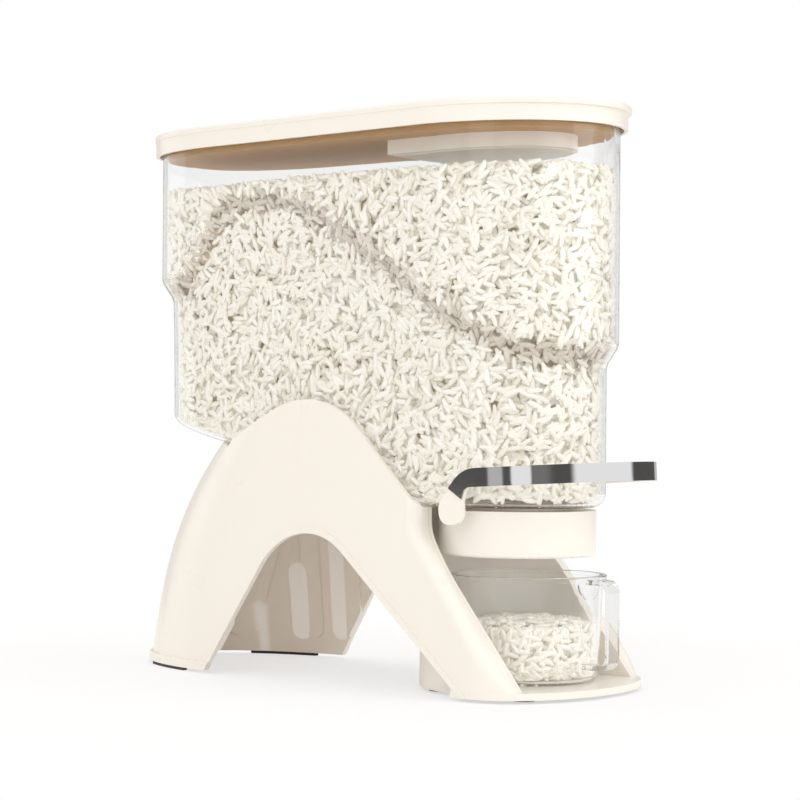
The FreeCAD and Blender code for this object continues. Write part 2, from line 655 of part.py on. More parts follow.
def stand_body(inset):
    """The stand's outer form: an oval that leans in at the sides and curves in at the back."""
    loops = []
    for z in STAND_RINGS:
        lean = z * tan(radians(STAND_SIDE_LEAN)) + inset
        back = REAR_LEAN * z + REAR_CURVE * (z / REAR_CURVE_Z) ** 3 + inset
        outline = oval_points(STAND_HALF_FRONT - lean, STAND_HALF_REAR - lean, STAND_FRONT_Y,
                              STAND_REAR_Y, STAND_FRONT_DEPTH - inset, STAND_REAR_DEPTH - back,
                              STAND_REAR_POWER)
        loops.append(whole_loop([Vector(x, y, z) for x, y in outline]))
    knots = spacing(loops[0])
    return Part.makeLoft([closed_curve(loop, knots) for loop in loops], True, False)


def crown(peak_y, peak_z, radius, front_slope, rear_slope):
    """Where the tangents of a round peak meet, and one point on each tangent line."""
    front = radians(front_slope)
    rear = radians(rear_slope)
    centre_z = peak_z - radius
    first = (peak_y - radius * sin(front), centre_z + radius * cos(front))
    last = (peak_y + radius * sin(rear), centre_z + radius * cos(rear))
    y = ((last[1] - first[1]) + first[0] * tan(front) + last[0] * tan(rear)) / (tan(front) + tan(rear))
    return (y, first[1] + (y - first[0]) * tan(front)), first, last


def leg_face_y(z, shift):
    """The front legs' face, moved back by shift measured square to it."""
    slope = radians(LEG_FACE_SLOPE)
    return LEG_FACE_Y - (LEG_FACE_Z - z) / tan(slope) + shift / sin(slope)


def leg_front(shift):
    """Corners of the legs' front, from the bottom up, moved back by shift."""
    slope = radians(LEG_FACE_SLOPE)
    top_y = LEG_TOP_Y + shift
    bend_z = LEG_FACE_Z + (top_y - shift / sin(slope) - LEG_FACE_Y) * tan(slope)
    low = -3 * TRAY_TOP_Z
    return [(leg_face_y(low, shift), low, 0), (top_y, bend_z, LEG_BEND_RADIUS)]


def stand_side():
    """Everything that the stand's side view keeps."""
    meet, first, last = crown(SADDLE_PEAK_Y, SADDLE_PEAK_Z, SADDLE_RADIUS, SADDLE_FRONT_SLOPE,
                              SADDLE_REAR_SLOPE)
    front_z = first[1] + (LEG_TOP_Y - first[0]) * tan(radians(SADDLE_FRONT_SLOPE))
    rear_y = last[0] + (last[1] - SADDLE_REAR_Z) / tan(radians(SADDLE_REAR_SLOPE))
    corners = leg_front(0.0) + [
        (LEG_TOP_Y, front_z, 0),
        (meet[0], meet[1], SADDLE_RADIUS),
        (rear_y, SADDLE_REAR_Z, SADDLE_REAR_RADIUS),
        (FAR, SADDLE_REAR_Z, 0),
        (FAR, -3 * TRAY_TOP_Z, 0)]
    return rounded_slab(corners)


def rounded_legs(form):
    """Round the edges between the legs' front and the stand's sides."""
    found = []
    for edge in form.Edges:
        points = edge.discretize(5)
        if all(p.y < LEG_TOP_Y + 0.1 and abs(p.x) > STAND_HALF_FRONT / 2 for p in points):
            found.append(edge)
    return form.makeFillet(LEG_EDGE_RADIUS, found)


def stand_hollow():
    """Everything behind the legs' front wall."""
    corners = leg_front(LEG_WALL) + [(LEG_TOP_Y + LEG_WALL, FAR, 0), (FAR, FAR, 0),
                                       (FAR, -3 * TRAY_TOP_Z, 0)]
    return rounded_slab(corners)


def arch(grow):
    """The arch through both sides, grown by a margin; it stays clear of the cup bay."""
    meet, first, last = crown(ARCH_PEAK_Y, ARCH_PEAK_Z + grow, ARCH_RADIUS + grow,
                              ARCH_FRONT_SLOPE, ARCH_REAR_SLOPE)
    low = -3 * TRAY_TOP_Z
    front_y = first[0] - (first[1] - low) / tan(radians(ARCH_FRONT_SLOPE))
    rear_y = last[0] + (last[1] - low) / tan(radians(ARCH_REAR_SLOPE))
    corners = [(front_y, low, 0), (meet[0], meet[1], ARCH_RADIUS + grow), (rear_y, low, 0)]
    start = BAY_RADIUS + BAY_WALL + 2 * BAY_FIT
    side = rounded_slab(corners, start, FAR)
    return side.fuse(mirrored(side))


def bay(radius, z0, z1):
    """The cup bay's plan: round behind, open in front."""
    return post(radius, z0, z1, 0, OUTLET_Y).fuse(box(-radius, radius, -FAR, OUTLET_Y, z0, z1))


def side_rib(y):
    """An upright strip with a round lower end, crossing the right side wall."""
    radius = RIB_WIDTH / 2
    strip = box(STAND_HALF_REAR / 2, FAR, y - radius, y + radius, RIB_BOTTOM_Z + radius, RIB_TOP_Z)
    return strip.fuse(rod(radius, STAND_HALF_REAR / 2, FAR, y, RIB_BOTTOM_Z + radius))


def back_rib(x):
    """The same strip, crossing the rear wall."""
    radius = RIB_WIDTH / 2
    strip = box(x - radius, x + radius, RIB_BACK_FROM_Y, FAR, RIB_BOTTOM_Z + radius, RIB_TOP_Z)
    end = Part.makeCylinder(radius, FAR, Vector(x, RIB_BACK_FROM_Y, RIB_BOTTOM_Z + radius), Y_AXIS)
    return strip.fuse(end)


def stand_ribs():
    """Raised ribs on the inside of the side and rear walls, and a cross bar at the back."""
    strips = [side_rib(y) for y in RIB_SIDE_Y]
    strips += [mirrored(strip) for strip in strips]
    strips += [back_rib(side * x) for x in RIB_BACK_X for side in (-1, 1)]
    reach = RIB_BACK_X[-1] + RIB_WIDTH / 2
    strips.append(box(-reach, reach, RIB_BACK_FROM_Y, FAR, BAR_BOTTOM_Z, BAR_TOP_Z))
    lining = stand_body(STAND_WALL / 2).cut(stand_body(STAND_WALL + RIB_HEIGHT))
    return lining.common(strips[0].multiFuse(strips[1:]))


def tray():
    """The floor of the cup bay and the curved front of the base, hollow underneath, with a
    boss for each foot."""
    reach = BAY_RADIUS + BAY_WALL
    region = box(-FAR, FAR, -FAR, TRAY_BACK_Y, STAND_BOTTOM_Z, TRAY_TOP_Z)
    region = region.fuse(post(reach, STAND_BOTTOM_Z, TRAY_TOP_Z, 0, OUTLET_Y))
    under = box(-FAR, FAR, -FAR, TRAY_BACK_Y - TRAY_SKIRT, 0, TRAY_UNDER_Z)
    under = under.fuse(post(reach - TRAY_SKIRT, 0, TRAY_UNDER_Z, 0, OUTLET_Y))
    bosses = []
    pegs = []
    for x, y in tray_feet():
        bosses.append(post(FOOT_RADIUS + FOOT_BOSS, 0, TRAY_UNDER_Z, x, y))
        pegs.append(post(FOOT_PEG_RADIUS + FOOT_PEG_FIT, 0, PEG_HOLE_TOP_Z, x, y))
    hollow = stand_body(TRAY_SKIRT).common(under).cut(bosses)
    return stand_body(-TRAY_EDGE).common(region).cut([hollow] + pegs)


def tray_feet():
    """Places of the round feet."""
    return [(side * x, y) for x, y in (FOOT_FRONT, FOOT_MIDDLE) for side in (-1, 1)]


def hopper_pocket():
    """Room for the hopper's lower part."""
    pocket = prism(lid_plan(HOPPER_LOWER_INSET - POCKET_FIT), 0, FAR)
    return pocket.cut(below_floor(-POCKET_FIT))


def make_stand_shell():
    outer = stand_body(0.0)
    inner = stand_body(STAND_WALL)
    side = stand_side()
    openings = [arch(0.0), bay(BAY_RADIUS + BAY_WALL + BAY_FIT, TRAY_TOP_Z, FAR), hopper_pocket(),
                box(-FAR, FAR, -FAR, FAR, -FAR, STAND_BOTTOM_Z)]
    form = rounded_legs(outer.common(side))
    wall = form.cut([inner.common(stand_hollow())] + openings)
    lip_zone = box(-FAR, FAR, FOOT_LIP_Y, FAR, STAND_BOTTOM_Z, FOOT_LIP_HEIGHT + STAND_BOTTOM_Z)
    middle = stand_body(STAND_WALL / 2)
    lip = stand_body(-FOOT_LIP).common(lip_zone).cut([middle, arch(0.0)])
    rim = stand_body(-ARCH_RIM_HEIGHT).common(arch(ARCH_RIM)).cut([middle] + openings)
    ribs = stand_ribs().cut(arch(0.0))
    return wall.multiFuse([lip, rim, ribs, tray()])


def make_bay_wall():
    """The curved wall behind the cup, from the tray up to the hopper's floor."""
    wall = bay(BAY_RADIUS + BAY_WALL, TRAY_TOP_Z, FLOOR_FRONT_Z + FAR / 8)
    wall = wall.cut(bay(BAY_RADIUS, TRAY_TOP_Z - 1, FAR))
    wall = wall.cut(hopper_pocket())
    behind = rounded_slab(leg_front(0.0) + [(LEG_TOP_Y, FLOOR_FRONT_Z - BAY_FIT, 0),
                                            (FLOOR_BREAK_Y, FLOOR_FRONT_Z - BAY_FIT, 0),
                                            (FAR, floor_z(FAR) - BAY_FIT, 0),
                                            (FAR, -3 * TRAY_TOP_Z, 0)])
    return wall.common(behind)


def make_tray_foot(x, y):
    disc = post(FOOT_RADIUS, 0, STAND_BOTTOM_Z, x, y)
    return disc.fuse(post(FOOT_PEG_RADIUS, 0, STAND_BOTTOM_Z + FOOT_PEG_HEIGHT, x, y))


def make_rear_foot():
    """A curved pad under the rear wall, on one side."""
    edge = (STAND_WALL + FOOT_LIP - REAR_FOOT_WIDTH) / 2
    pad = stand_body(edge - FOOT_LIP).cut(stand_body(edge - FOOT_LIP + REAR_FOOT_WIDTH))
    return pad.common(box(0, FAR, REAR_FOOT_FROM_Y, REAR_FOOT_TO_Y, 0, STAND_BOTTOM_Z))


# ---- measuring cup ------------------------------------------------------------------------

def cup_turned(corners):
    """A profile of (radius, z, corner radius) turned about the cup's axis."""
    face = rounded_face([(CUP_Y + r, z, corner) for r, z, corner in corners])
    return face.revolve(Vector(0, CUP_Y, 0), Z_AXIS, 360)


def cup_handle():
    """A flat ribbon that leaves the rim, turns down and comes back to the wall."""
    front_y = CUP_Y - CUP_TOP_RADIUS - HANDLE_REACH
    top_z = CUP_TOP_Z - CUP_RIM_HEIGHT / 2

    def outline(inset, corner):
        y = front_y + inset
        return rounded_slab([(CUP_Y, top_z - inset, 0), (CUP_Y, HANDLE_BOTTOM_Z + inset, 0),
                             (y, HANDLE_BOTTOM_Z + inset, corner), (y, top_z - inset, corner)],
                            -HANDLE_WIDTH / 2, HANDLE_WIDTH / 2)
    return outline(0, HANDLE_CORNER).cut(outline(HANDLE_THICKNESS, HANDLE_CORNER - HANDLE_THICKNESS))


def cup_shield(rim_z):
    """A half-round plate on the cup's wall, behind the top of the handle."""
    lean = (CUP_TOP_RADIUS - CUP_BOTTOM_RADIUS) / (rim_z - CUP_BOTTOM_Z)
    foot = CUP_TOP_RADIUS - SHIELD_RADIUS * lean
    cone = Part.makeCone(foot + SHIELD_THICKNESS, CUP_TOP_RADIUS + SHIELD_THICKNESS, SHIELD_RADIUS,
                         Vector(0, CUP_Y, rim_z - SHIELD_RADIUS), Z_AXIS)
    disc = Part.makeCylinder(SHIELD_RADIUS, CUP_TOP_RADIUS * 2, Vector(0, CUP_Y, rim_z), -Y_AXIS)
    return cone.common(disc)


def make_measuring_cup():
    rim_z = CUP_TOP_Z - CUP_RIM_HEIGHT
    outside = [(0, CUP_TOP_Z, 0), (0, CUP_BOTTOM_Z, 0), (CUP_BOTTOM_RADIUS, CUP_BOTTOM_Z, CUP_CORNER),
               (CUP_TOP_RADIUS, rim_z, 0), (CUP_RIM_RADIUS, rim_z, 0),
               (CUP_RIM_RADIUS, CUP_TOP_Z, CUP_RIM_ROUND)]
    inside = [(0, CUP_TOP_Z + 1, 0), (0, CUP_BOTTOM_Z + CUP_FLOOR, 0),
              (CUP_BOTTOM_RADIUS - CUP_WALL, CUP_BOTTOM_Z + CUP_FLOOR, CUP_CORNER - CUP_WALL),
              (CUP_TOP_RADIUS - CUP_WALL, CUP_TOP_Z + 1, 0)]
    solid = cup_turned(outside).fuse(cup_handle()).fuse(cup_shield(rim_z))
    return solid.cut(cup_turned(inside))


# ---- nodes --------------------------------------------------------------------------------

def all_nodes():
    """Every piece by name."""
    nodes = {
        "lid": make_lid(),
        "lid_plug": make_lid_plug(),
        "lid_seal": make_lid_seal(),
        "drying_box": make_drying_box(),
        "drying_box_cover": make_drying_box_cover(),
        "drying_sachet": make_drying_sachet(),
        "hopper": make_hopper(),
        "neck_seal": make_neck_seal(),
        "outlet_collar": make_outlet_collar(),
        "outlet_throat": make_outlet_throat(),
        "valve_gate": make_valve_gate(),
        "lever_yoke": make_lever_yoke(),
        "lever_trim": make_lever_trim(),
        "stand_shell": make_stand_shell(),
        "bay_wall": make_bay_wall(),
        "measuring_cup": make_measuring_cup(),
    }
    for name, piece in (("pivot_pin", make_pivot_pin()), ("return_spring", make_return_spring()),
                        ("foot_rear", make_rear_foot()), ("foot_front", make_tray_foot(*FOOT_FRONT)),
                        ("foot_middle", make_tray_foot(*FOOT_MIDDLE))):
        nodes[name + "_right"] = piece
        nodes[name + "_left"] = mirrored(piece)
    return nodes


def main():
    os.makedirs("parts", exist_ok=True)
    whole = FreeCAD.BoundBox()
    for name, shape in all_nodes().items():
        shape.exportStep(f"parts/{name}.step")
        whole.add(shape.optimalBoundingBox())
        print(name, "solids", len(shape.Solids), "valid", shape.isValid(), "volume", round(shape.Volume))
    print("box", [round(v, 2) for v in (whole.XMin, whole.XMax, whole.YMin, whole.YMax, whole.ZMin, whole.ZMax)])


if __name__ == "__main__":
    main()
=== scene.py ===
# %% [markdown]
# # A countertop rice dispenser
# The dispenser is a clear hopper on an arched ivory stand. A bright lever turns a gate under the
# hopper, and a clear measuring cup catches the rice. The solids come from the construction model;
# this lesson gives them their finishes and fills the hopper and the cup with rice.

# %% Load the frame
import json
import math

import bmesh
import bpy
import numpy as np
from mathutils import Matrix, Vector
from mathutils.bvhtree import BVHTree


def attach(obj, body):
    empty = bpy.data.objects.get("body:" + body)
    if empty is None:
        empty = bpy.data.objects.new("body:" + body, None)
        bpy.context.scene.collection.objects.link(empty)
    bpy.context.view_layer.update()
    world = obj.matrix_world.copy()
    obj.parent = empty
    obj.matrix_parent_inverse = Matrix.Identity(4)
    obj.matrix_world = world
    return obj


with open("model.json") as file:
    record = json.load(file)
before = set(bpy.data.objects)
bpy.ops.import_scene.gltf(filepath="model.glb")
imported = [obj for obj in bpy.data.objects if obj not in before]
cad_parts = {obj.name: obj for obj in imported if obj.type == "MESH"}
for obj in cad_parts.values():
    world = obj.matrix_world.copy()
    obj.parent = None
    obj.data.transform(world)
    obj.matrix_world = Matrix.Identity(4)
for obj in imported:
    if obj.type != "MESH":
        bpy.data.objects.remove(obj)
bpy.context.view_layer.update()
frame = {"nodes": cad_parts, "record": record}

scene = bpy.context.scene
scene.view_settings.view_transform = "Standard"
MM = 0.001

# %% [markdown]
# ## The camera
# A long lens close to worktop height keeps the hopper's upright lines nearly parallel. The camera
# is described by where it stands, where it looks and a very small roll.

# %% Camera
LENS_MM = 103.36
SENSOR_MM = 36.0
CAMERA_PLACE = Vector((-1.2242, -1.0126, 0.1748))
CAMERA_FORWARD = Vector((0.7725, 0.6349, 0.0101)).normalized()
CAMERA_ROLL = 0.008

level_right = CAMERA_FORWARD.cross(Vector((0, 0, 1))).normalized()
level_up = level_right.cross(CAMERA_FORWARD)
right = level_right * math.cos(CAMERA_ROLL) + level_up * math.sin(CAMERA_ROLL)
up = right.cross(CAMERA_FORWARD)
camera_data = bpy.data.cameras.new("camera")
camera_data.lens = LENS_MM
camera_data.sensor_width = SENSOR_MM
camera = bpy.data.objects.new("camera", camera_data)
scene.collection.objects.link(camera)
turn = Matrix((right, up, -CAMERA_FORWARD)).transposed().to_4x4()
camera.matrix_world = Matrix.Translation(CAMERA_PLACE) @ turn
scene.camera = camera
print("camera", [round(v, 3) for v in camera.location])

# %% [markdown]
# ## Shader maths in plain Python
# Wiring Math nodes by hand hides the formula. A small class wraps an output socket, so that an
# expression such as `1 - mask * 0.3` adds its own Math nodes. Any other node comes from `make`.


# %% Shader helper
class Wire:
    """An output socket that works in arithmetic."""

    def __init__(self, tree, socket):
        self.tree = tree
        self.socket = socket

    def maths(self, operation, *values):
        return make(self.tree, "ShaderNodeMath", dict(enumerate(values)), operation=operation)

    def __add__(self, other):
        return self.maths("ADD", self, other)

    def __sub__(self, other):
        return self.maths("SUBTRACT", self, other)

    def __rsub__(self, other):
        return self.maths("SUBTRACT", other, self)

    def __mul__(self, other):
        return self.maths("MULTIPLY", self, other)

    __radd__ = __add__
    __rmul__ = __mul__


def make(tree, kind, inputs=None, output=0, **settings):
    """Add a node, set its settings first and then its inputs, and return one output."""
    node = tree.nodes.new(kind)
    for name, value in settings.items():
        setattr(node, name, value)
    for name, value in (inputs or {}).items():
        if isinstance(value, Wire):
            tree.links.new(value.socket, node.inputs[name])
        else:
            node.inputs[name].default_value = value
    return Wire(tree, node.outputs[output])


def colour_mix(tree, factor, first, second):
    """Mix two colours; each is a wire or four numbers."""
    inputs = {0: factor, 6: first, 7: second}
    return make(tree, "ShaderNodeMix", inputs, output=2, data_type="RGBA")


def new_material(name):
    """An empty node material and its tree."""
    material = bpy.data.materials.new(name)
    material.use_nodes = True
    material.node_tree.nodes.clear()
    return material, material.node_tree


def finish_surface(tree, shader):
    """Send a shader to the material's output."""
    out = tree.nodes.new("ShaderNodeOutputMaterial")
    tree.links.new(shader.socket, out.inputs["Surface"])


def object_place(tree):
    """Position on the piece, in metres, in the row frame."""
    return make(tree, "ShaderNodeTexCoord", output=3)


def split(tree, vector):
    """The three parts of a vector."""
    node = tree.nodes.new("ShaderNodeSeparateXYZ")
    tree.links.new(vector.socket, node.inputs[0])
    return [Wire(tree, socket) for socket in node.outputs]


def between(tree, value, start, end, low=0.0, high=1.0):
    """A soft step from low to high while value goes from start to end."""
    limits = {0: value, 1: start, 2: end, 3: low, 4: high}
    return make(tree, "ShaderNodeMapRange", limits, interpolation_type="SMOOTHSTEP")


def noise(tree, scale, detail=2.0, roughness=0.5, place=None):
    """Smooth noise; scale is in waves per metre."""
    inputs = {"Vector": place or object_place(tree), "Scale": scale, "Detail": detail,
              "Roughness": roughness}
    return make(tree, "ShaderNodeTexNoise", inputs)


def fine_bump(tree, height, strength, distance):
    """A normal from a height."""
    inputs = {"Height": height, "Strength": strength, "Distance": distance}
    return make(tree, "ShaderNodeBump", inputs)


# %% [markdown]
# ## A white studio
# Clear plastic is lit best in a white tent: the background is white, and the
# bright trim mirrors a few tall softboxes with dark gaps between them. The world is therefore
# white where the camera or a clear wall looks at it, striped where a glossy surface mirrors it,
# and plain for soft light.

# %% World
SOFT_LIGHT = 0.93
SOFT_COLOUR = (1.0, 0.97, 0.94, 1)
DARK_GAP = (0.10, 0.095, 0.09, 1)
INNER_MIRROR = (0.30, 0.30, 0.31, 1)    # what a clear wall mirrors on its inside
OVERHEAD = (0.35, 0.7, 0.95)            # heights where it starts and is full, and its level
# each softbox: azimuth, half width, soft edge (degrees) and level
SOFTBOXES = ((-91, 34, 8, 1.0), (183.5, 7.5, 2.5, 1.0), (161, 5, 3, 0.5), (200, 3, 12, 0.12),
             (40, 30, 5, 0.5), (95, 12, 4, 0.9))

world = bpy.data.worlds.new("studio")
scene.world = world
world.use_nodes = True
sky = world.node_tree
sky.nodes.clear()
direction = make(sky, "ShaderNodeTexCoord", output=0)
toward_x, toward_y, toward_z = split(sky, direction)
azimuth = toward_y.maths("ARCTAN2", toward_y, toward_x)
boxes = None
for middle, half_width, edge, level in SOFTBOXES:
    away = azimuth - math.radians(middle)
    away = away.maths("ARCCOSINE", away.maths("COSINE", away))
    lit = between(sky, away, math.radians(half_width + edge), math.radians(half_width), 0.0, level)
    boxes = lit if boxes is None else boxes.maths("MAXIMUM", boxes, lit)
overhead = between(sky, toward_z, OVERHEAD[0], OVERHEAD[1], 0.0, OVERHEAD[2])
boxes = boxes.maths("MAXIMUM", boxes, overhead)
mirrored_sky = colour_mix(sky, boxes, DARK_GAP, (1, 1, 1, 1))
through_walls = make(sky, "ShaderNodeLightPath", output="Transmission Depth")
mirrored_sky = colour_mix(sky, between(sky, through_walls, 0.0, 1.0), mirrored_sky, INNER_MIRROR)
rays = {name: make(sky, "ShaderNodeLightPath", output=name)
        for name in ("Is Camera Ray", "Is Glossy Ray", "Is Transmission Ray")}
soft = make(sky, "ShaderNodeBackground", {0: SOFT_COLOUR, 1: SOFT_LIGHT})
mirror = make(sky, "ShaderNodeBackground", {0: mirrored_sky, 1: 1.0})
white = make(sky, "ShaderNodeBackground", {0: (1, 1, 1, 1), 1: 1.0})
lit_sky = make(sky, "ShaderNodeMixShader", {0: rays["Is Glossy Ray"], 1: soft, 2: mirror})
seen = rays["Is Camera Ray"].maths("MAXIMUM", rays["Is Camera Ray"], rays["Is Transmission Ray"])
lit_sky = make(sky, "ShaderNodeMixShader", {0: seen, 1: lit_sky, 2: white})
sky_out = sky.nodes.new("ShaderNodeOutputWorld")
sky.links.new(lit_sky.socket, sky_out.inputs["Surface"])
print("softboxes", len(SOFTBOXES))

# %% [markdown]
# ## Lamps
# Large lamps give form without hard shadows: a key lamp from the camera's left, a weak fill from
# the right and a lamp above.

# %% Lamps
LAMPS = (("key", (-1.6, -0.5, 1.3), 1.4, 5.6), ("fill", (0.5, -1.9, 0.9), 1.2, 8.0),
         ("above", (0.1, 0.2, 1.8), 1.2, 2.5))
AIM = Vector((0, 0, 0.2))

for name, place, size, power in LAMPS:
    lamp = bpy.data.lights.new(name, "AREA")
    lamp.shape = "SQUARE"
    lamp.size = size
    lamp.energy = power
    holder = bpy.data.objects.new(name, lamp)
    holder.location = place
    holder.rotation_euler = (AIM - Vector(place)).to_track_quat("-Z", "Y").to_euler()
    holder.visible_glossy = False
    scene.collection.objects.link(holder)
print("lamps", [name for name, *rest in LAMPS])

# %% [markdown]
# ## The floor
# The floor is a wide sheet. The camera sees it a little brighter than it is lit, so it meets the
# white background without an edge and still keeps the dispenser's soft shadow.

# %% Floor
FLOOR_REACH = 2.5
FLOOR_DROP = 0.0002
FLOOR_WHITE = (0.93, 0.93, 0.925, 1)
FLOOR_LIFT = 0.60              # share of plain white in what the camera sees
FADE_FROM = 0.26               # metres from the middle, where the floor starts to turn white
FADE_TO = 0.50


def make_floor():
    bm = bmesh.new()
    bmesh.ops.create_grid(bm, x_segments=1, y_segments=1, size=FLOOR_REACH)
    bmesh.ops.translate(bm, vec=(0, 0, -FLOOR_DROP), verts=bm.verts)
    mesh = bpy.data.meshes.new("floor")
    bm.to_mesh(mesh)
    bm.free()
    floor = bpy.data.objects.new("floor", mesh)
    scene.collection.objects.link(floor)
    material, tree = new_material("floor_sheet")
    matt = make(tree, "ShaderNodeBsdfDiffuse", {"Color": FLOOR_WHITE})
    white = make(tree, "ShaderNodeEmission", {"Color": (1, 1, 1, 1), "Strength": 1.0})
    place = {0: object_place(tree)}
    far_away = make(tree, "ShaderNodeVectorMath", place, output=1, operation="LENGTH")
    fade = between(tree, far_away, FADE_FROM, FADE_TO, FLOOR_LIFT, 1.0)
    seen_floor = make(tree, "ShaderNodeMixShader", {0: fade, 1: matt, 2: white})
    camera_ray = make(tree, "ShaderNodeLightPath", output="Is Camera Ray")
    through_ray = make(tree, "ShaderNodeLightPath", output="Is Transmission Ray")
    seen_ray = camera_ray.maths("MAXIMUM", camera_ray, through_ray)
    finish_surface(tree, make(tree, "ShaderNodeMixShader", {0: seen_ray, 1: matt, 2: seen_floor}))
    mesh.materials.append(material)


make_floor()

# %% [markdown]
# ## Ivory plastic
# The stand, lid, collar and lever are moulded in warm white plastic. Real mouldings are never one
# flat colour: thick places look a little warmer, and the skin has a faint ripple that softens
# its reflections.

# %% Ivory plastic
IVORY = (0.93, 0.893, 0.825, 1)
IVORY_WARM = (0.90, 0.85, 0.765, 1)
CLOUD_WAVES = 5.0                       # clouds of warmer ivory in a metre, and their share
CLOUD_SHARE = 0.3
LEG_GLOW = (0.070, 0.048, 0.038, 1)     # painted light on the legs' inner faces
SLOT_GLOW = (0.175, 0.165, 0.16, 1)
# Pale slots of painted light on those faces: middle, half width, lower and upper end of the axis
# and soft edge, in metres. The construction model's two ribs stand about 12 mm in front of the
# first two.
SLOTS = ((0.1385, 0.0085, 0.020, 0.062, 0.0015), (0.1055, 0.0080, 0.021, 0.110, 0.0015),
         (0.1680, 0.0060, 0.000, 0.036, 0.0060), (0.1980, 0.0045, 0.012, 0.055, 0.0030))


def inner_glow(tree):
    """A soft glow painted on the legs' inner faces, with paler slots; it is no shape."""
    x, y, z = split(tree, object_place(tree))
    facing = split(tree, make(tree, "ShaderNodeTexCoord", output=1))[0] * x.maths("SIGN", x)
    # painted light of the pale slots
    slot_light = None
    for middle, half, low, high, edge in SLOTS:
        across = x.maths("ABSOLUTE", y - middle)
        past = x.maths("MAXIMUM", x.maths("MAXIMUM", low - z, z - high), 0.0)
        away = x.maths("SQRT", across * across + past * past)
        slot = between(tree, away, half, half - edge)
        slot_light = slot if slot_light is None else x.maths("MAXIMUM", slot_light, slot)
    colour = colour_mix(tree, slot_light, LEG_GLOW, SLOT_GLOW)
    share = between(tree, facing, -0.5, -0.9) * between(tree, z, 0.0, 0.12, 1.15, 0.6)
    return colour_mix(tree, share, (0, 0, 0, 1), colour)


def make_ivory(name="ivory_plastic", glow=False):
    material, tree = new_material(name)
    clouds = noise(tree, CLOUD_WAVES, 1.0) * CLOUD_SHARE
    colour = colour_mix(tree, clouds, IVORY, IVORY_WARM)
    rough = noise(tree, 25.0, 1.0) * 0.05 + 0.26
    normal = fine_bump(tree, noise(tree, 2600.0, 1.0), 0.04, 0.00002)
    inputs = {"Base Color": colour, "Roughness": rough, "Normal": normal, "Coat Weight": 0.15,
              "Coat Roughness": 0.12, "IOR": 1.5}
    if glow:
        inputs.update({"Emission Color": inner_glow(tree), "Emission Strength": 1.0})
    finish_surface(tree, make(tree, "ShaderNodeBsdfPrincipled", inputs))
    return material


ivory = make_ivory()
# the stand's shell gets the painted glow and slots on its legs' inner faces
ivory_legs = make_ivory("ivory_legs", glow=True)

# %% [markdown]
# ## Clear plastic
# A clear wall bends what is behind it and mirrors the studio at its edges. Lamps have to shine
# through it onto the rice, so for shadows and bounced light the wall is simply transparent.

# %% Clear plastic
CLEAR = (0.975, 0.98, 0.978, 1)
LONGEST_PATH = 4.5                      # bounces after which light leaves a wall straight on
CLEAR_HANDLE = (0.86, 0.855, 0.85, 1)   # the cup's handle is thick, so it looks greyer
EDGE_ON_SHADE = (0.50, 0.50, 0.50, 1)      # painted shade on a wall seen edge-on
HANDLE_BACK = (-0.170, -0.172)          # y where the handle's tint starts and is full
HANDLE_TOP = (0.09, 0.085)              # z likewise, which keeps it off the hopper


def make_clear():
    material, tree = new_material("clear_plastic")
    flow = noise(tree, 30.0, 1.0)
    normal = fine_bump(tree, flow, 0.08, 0.0006)
    edge_on = make(tree, "ShaderNodeLayerWeight", {"Blend": 0.5}, output="Facing")
    # painted shade where a wall is seen edge-on
    colour = colour_mix(tree, between(tree, edge_on, 0.72, 1.0), CLEAR, EDGE_ON_SHADE)
    x, y, z = split(tree, object_place(tree))
    in_handle = between(tree, y, *HANDLE_BACK) * between(tree, z, *HANDLE_TOP)
    colour = colour_mix(tree, in_handle, colour, CLEAR_HANDLE)
    inputs = {"Base Color": colour, "Roughness": 0.015, "Normal": normal, "IOR": 1.46,
              "Transmission Weight": 1.0}
    wall = make(tree, "ShaderNodeBsdfPrincipled", inputs)
    open_air = make(tree, "ShaderNodeBsdfTransparent", {"Color": (0.97, 0.97, 0.97, 1)})
    shadow = make(tree, "ShaderNodeLightPath", output="Is Shadow Ray")
    bounce = make(tree, "ShaderNodeLightPath", output="Is Diffuse Ray")
    depth = make(tree, "ShaderNodeLightPath", output="Ray Depth")
    trapped = depth.maths("GREATER_THAN", depth, LONGEST_PATH)
    passing = shadow.maths("MAXIMUM", shadow.maths("MAXIMUM", shadow, bounce), trapped)
    finish_surface(tree, make(tree, "ShaderNodeMixShader", {0: passing, 1: wall, 2: open_air}))
    return material


clear = make_clear()

# %% [markdown]
# ## Bright trim, steel, rubber and paper
# The trim is plated, so it is a mirror with a hint of polish marks. Springs and pins are drawn
# steel. Seals and feet are matt, and the drying sachet is a soft fibrous paper.

# %% Small finishes
CHROME = (0.74, 0.74, 0.75, 1)
STEEL = (0.55, 0.55, 0.57, 1)
SEAL = (0.80, 0.77, 0.70, 1)
RUBBER = (0.045, 0.04, 0.036, 1)
PAPER = (0.84, 0.84, 0.81, 1)
# painted shade: the lid's plug is ivory plastic, tinted tan because its underside lies in shadow
PLUG_SHADE = (0.56, 0.32, 0.12, 1)


def make_metal(name, colour, low_rough, high_rough, stretch):
    """A metal whose polish marks run along one direction."""
    material, tree = new_material(name)
    place = make(tree, "ShaderNodeMapping", {0: object_place(tree), 3: stretch})
    marks = noise(tree, 300.0, 3.0, place=place)
    rough = marks * (high_rough - low_rough) + low_rough
    normal = fine_bump(tree, marks, 0.05, 0.00005)
    inputs = {"Base Color": colour, "Metallic": 1.0, "Roughness": rough, "Normal": normal}
    finish_surface(tree, make(tree, "ShaderNodeBsdfPrincipled", inputs))
    return material


def make_matt(name, colour, other, scale, rough):
    """A matt material with a fine grain."""
    material, tree = new_material(name)
    grain = noise(tree, scale, 4.0, 0.6)
    normal = fine_bump(tree, grain, 0.3, 0.0002)
    mixed = colour_mix(tree, grain, colour, other)
    inputs = {"Base Color": mixed, "Roughness": rough, "Normal": normal}
    finish_surface(tree, make(tree, "ShaderNodeBsdfPrincipled", inputs))
    return material


